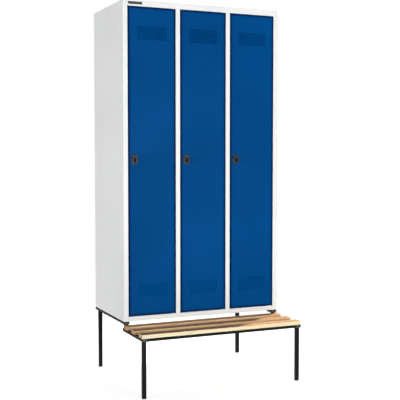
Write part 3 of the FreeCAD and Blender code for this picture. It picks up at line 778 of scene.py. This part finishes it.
def makeWeldBeads(look):
    mesh = bmesh.new()
    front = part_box("front_rail")[0].y
    for side, sign in (("left", -1), ("right", 1)):
        for part in ("front_leg", "rear_leg", "riser"):
            low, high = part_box(f"{side}_{part}")
            middle = (low + high) / 2
            size = high - low
            addBead(mesh, turned((middle.x, middle.y, high.z), 180), size.x, size.y, look)
            if part == "riser":
                addBead(mesh, turned((middle.x, middle.y, low.z)), size.x, size.y, look)
        for part in ("front_rail", "rear_rail"):
            low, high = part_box(part)
            middle = (low + high) / 2
            size = high - low
            end = high.x if sign > 0 else low.x
            addBead(mesh, turned((end, middle.y, middle.z), -90 * sign, "Y"), size.z, size.y, look)
    for vert in mesh.verts:                 # nothing stands out past the flush front of the rail
        vert.co.y = max(vert.co.y, front + look["flush"])
    return finishPiece(mesh, "weld_beads", "cabinet", "frame")


# Coat hooks, moulded round where the plain ones have flats

coatHook = {
    "half": 0.0034,
    "arm": 0.0029,
    "stem": 0.0033,
    "stemWiden": 1.02,
    "stemSink": 0.001,
    "stemEnd": 0.006,
    "bend": 0.012,
    "below": 0.015,
    "rise": 0.0088,
    "sweep": math.radians(171),
    "ringRadius": 0.00715,
    "ringHalf": 0.006,
    "ringTop": 0.0149,
    "ringThick": 0.0017,
    "sides": 14,
    "steps": 14,
    "endSteps": ((0.86, 0.55), (0.5, 0.32), (0.2, 0.13)),
}


def spinRing(mesh, ring, centre, angle, steps):
    ends = {v for e in ring for v in e.verts}
    verts = [v for v in mesh.verts if v in ends]
    made = bmesh.ops.spin(mesh, geom=verts + ring, cent=centre, axis=(1, 0, 0), angle=angle, steps=steps)
    return pick(made["geom_last"], bmesh.types.BMEdge)


def addHookArm(mesh, middle, bend, way, look):      # from its tip round into the stem
    tip = turned((middle.x, middle.y + way * 2 * look["bend"], bend + look["rise"]))
    start = addRing(mesh, tip, look["half"], look["arm"], look["sides"])
    ring = pushRing(mesh, start, (0, 0, -look["rise"]))
    centre = (middle.x, middle.y + way * look["bend"], bend)
    ring = spinRing(mesh, ring, centre, -way * look["sweep"], look["steps"])
    bmesh.ops.holes_fill(mesh, edges=ring)
    closeRing(mesh, start, Vector((0, 0, look["arm"])), look["endSteps"])


def addHookStem(mesh, middle, bend, top, look):
    foot = bend - look["stemSink"]
    place = turned((middle.x, middle.y, foot))
    ring = addRing(mesh, place, look["half"] * look["stemWiden"], look["stem"], look["sides"])
    closeRing(mesh, ring, Vector((0, 0, -look["stemEnd"])), look["endSteps"])
    ring = pushRing(mesh, ring, (0, 0, top - foot))
    bmesh.ops.holes_fill(mesh, edges=ring)


def addHookLoop(mesh, middle, rail, look):          # goes once round the flat-oval coat rail
    half = look["ringHalf"]
    start = turned((middle.x, middle.y + look["ringRadius"], rail + half))
    ring = addRing(mesh, start, look["half"], look["ringThick"], look["sides"])
    ring = spinRing(mesh, ring, (middle.x, middle.y, rail + half), math.pi, look["steps"])
    ring = pushRing(mesh, ring, (0, 0, -2 * half))
    ring = spinRing(mesh, ring, (middle.x, middle.y, rail - half), math.pi, look["steps"])
    pushRing(mesh, ring, (0, 0, 2 * half))


def makeCoatHook(side, number, look):
    node = f"{side}_coat_hook_{number}"
    low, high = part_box(node)
    middle = (low + high) / 2
    bend = low.z + look["below"]
    rail = high.z - look["ringTop"]
    mesh = bmesh.new()
    for way in (-1, 1):
        addHookArm(mesh, middle, bend, way, look)
    addHookStem(mesh, middle, bend, rail - look["ringHalf"] - look["ringRadius"], look)
    addHookLoop(mesh, middle, rail, look)
    for face in mesh.faces:
        face.smooth = True
    hook = finishPiece(mesh, f"{side}_moulded_hook_{number}", f"{side}_hook_{number}", "hook")
    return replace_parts(hook, node)


makeNameStrip(nameStrip)
makeSlatScrews(slatScrews)
makeFrameBolts(frameBolts)
makeWeldBeads(weldBeads)
for side in ("left", "middle", "right"):
    makeLockRivets(side, lockRivets)
    for number in (1, 2):
        makeCoatHook(side, number, coatHook)
print("small pieces: strip, rivets, screws, bolts, welds and hooks")


# Studio

studio = {
    "floorSize": 40.0,
    "floorDrop": 0.0005,
    "floorColour": rgb(200, 200, 199),
    "floorLift": 0.86,
    "fade": (1.1, 2.0),         # the floor turns white between these distances
    "ambient": 0.01,
    "white": (1, 1, 1, 1),
}

lamps = {
    "frontLamp": {"place": (1.5, -7.7, 1.1), "aim": (0.0, 0.0, 1.0), "size": 2.0, "power": 405.0},
    "leftLamp": {"place": (-6.2, -1.6, 0.8), "aim": (0.0, 0.0, 1.0), "size": 1.5, "power": 205.0},
    "rearLamp": {"place": (12.4, 9.1, 26.2), "aim": (0.1, -0.2, 0.4), "size": 2.0, "power": 9600.0},
}

view = {
    "sensor": 36,
    "lens": 77.32,
    "place": (-1.888, -4.318, 1.202),
    "turn": (87.053, 0.0, -23.974),
}


def seenDirectly(start):        # camera, mirror and glass rays
    kinds = ("Is Camera Ray", "Is Glossy Ray", "Is Transmission Ray")
    camera, mirror, glass = [start.node("LightPath", output=kind) for kind in kinds]
    return camera.maths("MAXIMUM", camera, mirror.maths("MAXIMUM", mirror, glass))


def makeFloor(look):
    mesh = bmesh.new()
    bmesh.ops.create_grid(mesh, x_segments=1, y_segments=1, size=look["floorSize"] / 2,
                          matrix=Matrix.Translation((0, 0, -look["floorDrop"])))
    data = bpy.data.meshes.new("floor")
    mesh.to_mesh(data)
    mesh.free()
    floor = bpy.data.objects.new("floor", data)
    bpy.context.scene.collection.objects.link(floor)
    finish, at = startFinish("paleFloor")
    nodes = finish.node_tree.nodes
    nodes.remove(nodes["Principled BSDF"])
    distance = at.node("VectorMath", {"operation": "LENGTH"}, {0: at}, "Value")
    seen = seenDirectly(at)
    matt = at.node("BsdfDiffuse", {}, {"Color": look["floorColour"]})
    glow = at.node("Emission", {}, {"Strength": look["floorLift"]})
    white = at.node("Emission", {}, {"Strength": 1.0})
    lifted = at.node("AddShader", {}, {0: matt, 1: glow})
    near = at.node("MixShader", {}, {0: seen, 1: matt, 2: lifted})
    whole = at.node("MixShader", {}, {0: ease(distance, *look["fade"]) * seen, 1: near, 2: white})
    at.plug(whole, nodes["Material Output"].inputs["Surface"])
    data.materials.append(finish)


def makeWorld(look):
    world = bpy.data.worlds.new("studioWorld")
    world.use_nodes = True
    bpy.context.scene.world = world
    start = Wire(world.node_tree)
    sky = start.node("Background", {}, {"Color": look["white"], "Strength": look["ambient"]})
    backdrop = start.node("Background", {}, {"Color": look["white"], "Strength": 1.0})
    whole = start.node("MixShader", {}, {0: seenDirectly(start), 1: sky, 2: backdrop})
    start.plug(whole, world.node_tree.nodes["World Output"].inputs["Surface"])


def makeLamp(name, look):
    data = bpy.data.lights.new(name, "AREA")
    data.shape = "SQUARE"
    data.size = look["size"]
    data.energy = look["power"]
    lamp = bpy.data.objects.new(name, data)
    lamp.location = look["place"]
    lamp.rotation_euler = (Vector(look["aim"]) - lamp.location).to_track_quat("-Z", "Y").to_euler()
    lamp.visible_camera = False
    bpy.context.scene.collection.objects.link(lamp)


def makeCamera(look):
    data = bpy.data.cameras.new("camera")
    data.sensor_width = look["sensor"]
    data.lens = look["lens"]
    camera = bpy.data.objects.new("camera", data)
    camera.location = look["place"]
    camera.rotation_euler = [math.radians(angle) for angle in look["turn"]]
    bpy.context.scene.collection.objects.link(camera)
    bpy.context.scene.camera = camera


makeFloor(studio)
makeWorld(studio)
for name, lamp in lamps.items():
    makeLamp(name, lamp)
makeCamera(view)
bpy.context.scene.view_settings.view_transform = "Standard"
print("studio ready:", len(lamps), "lamps")
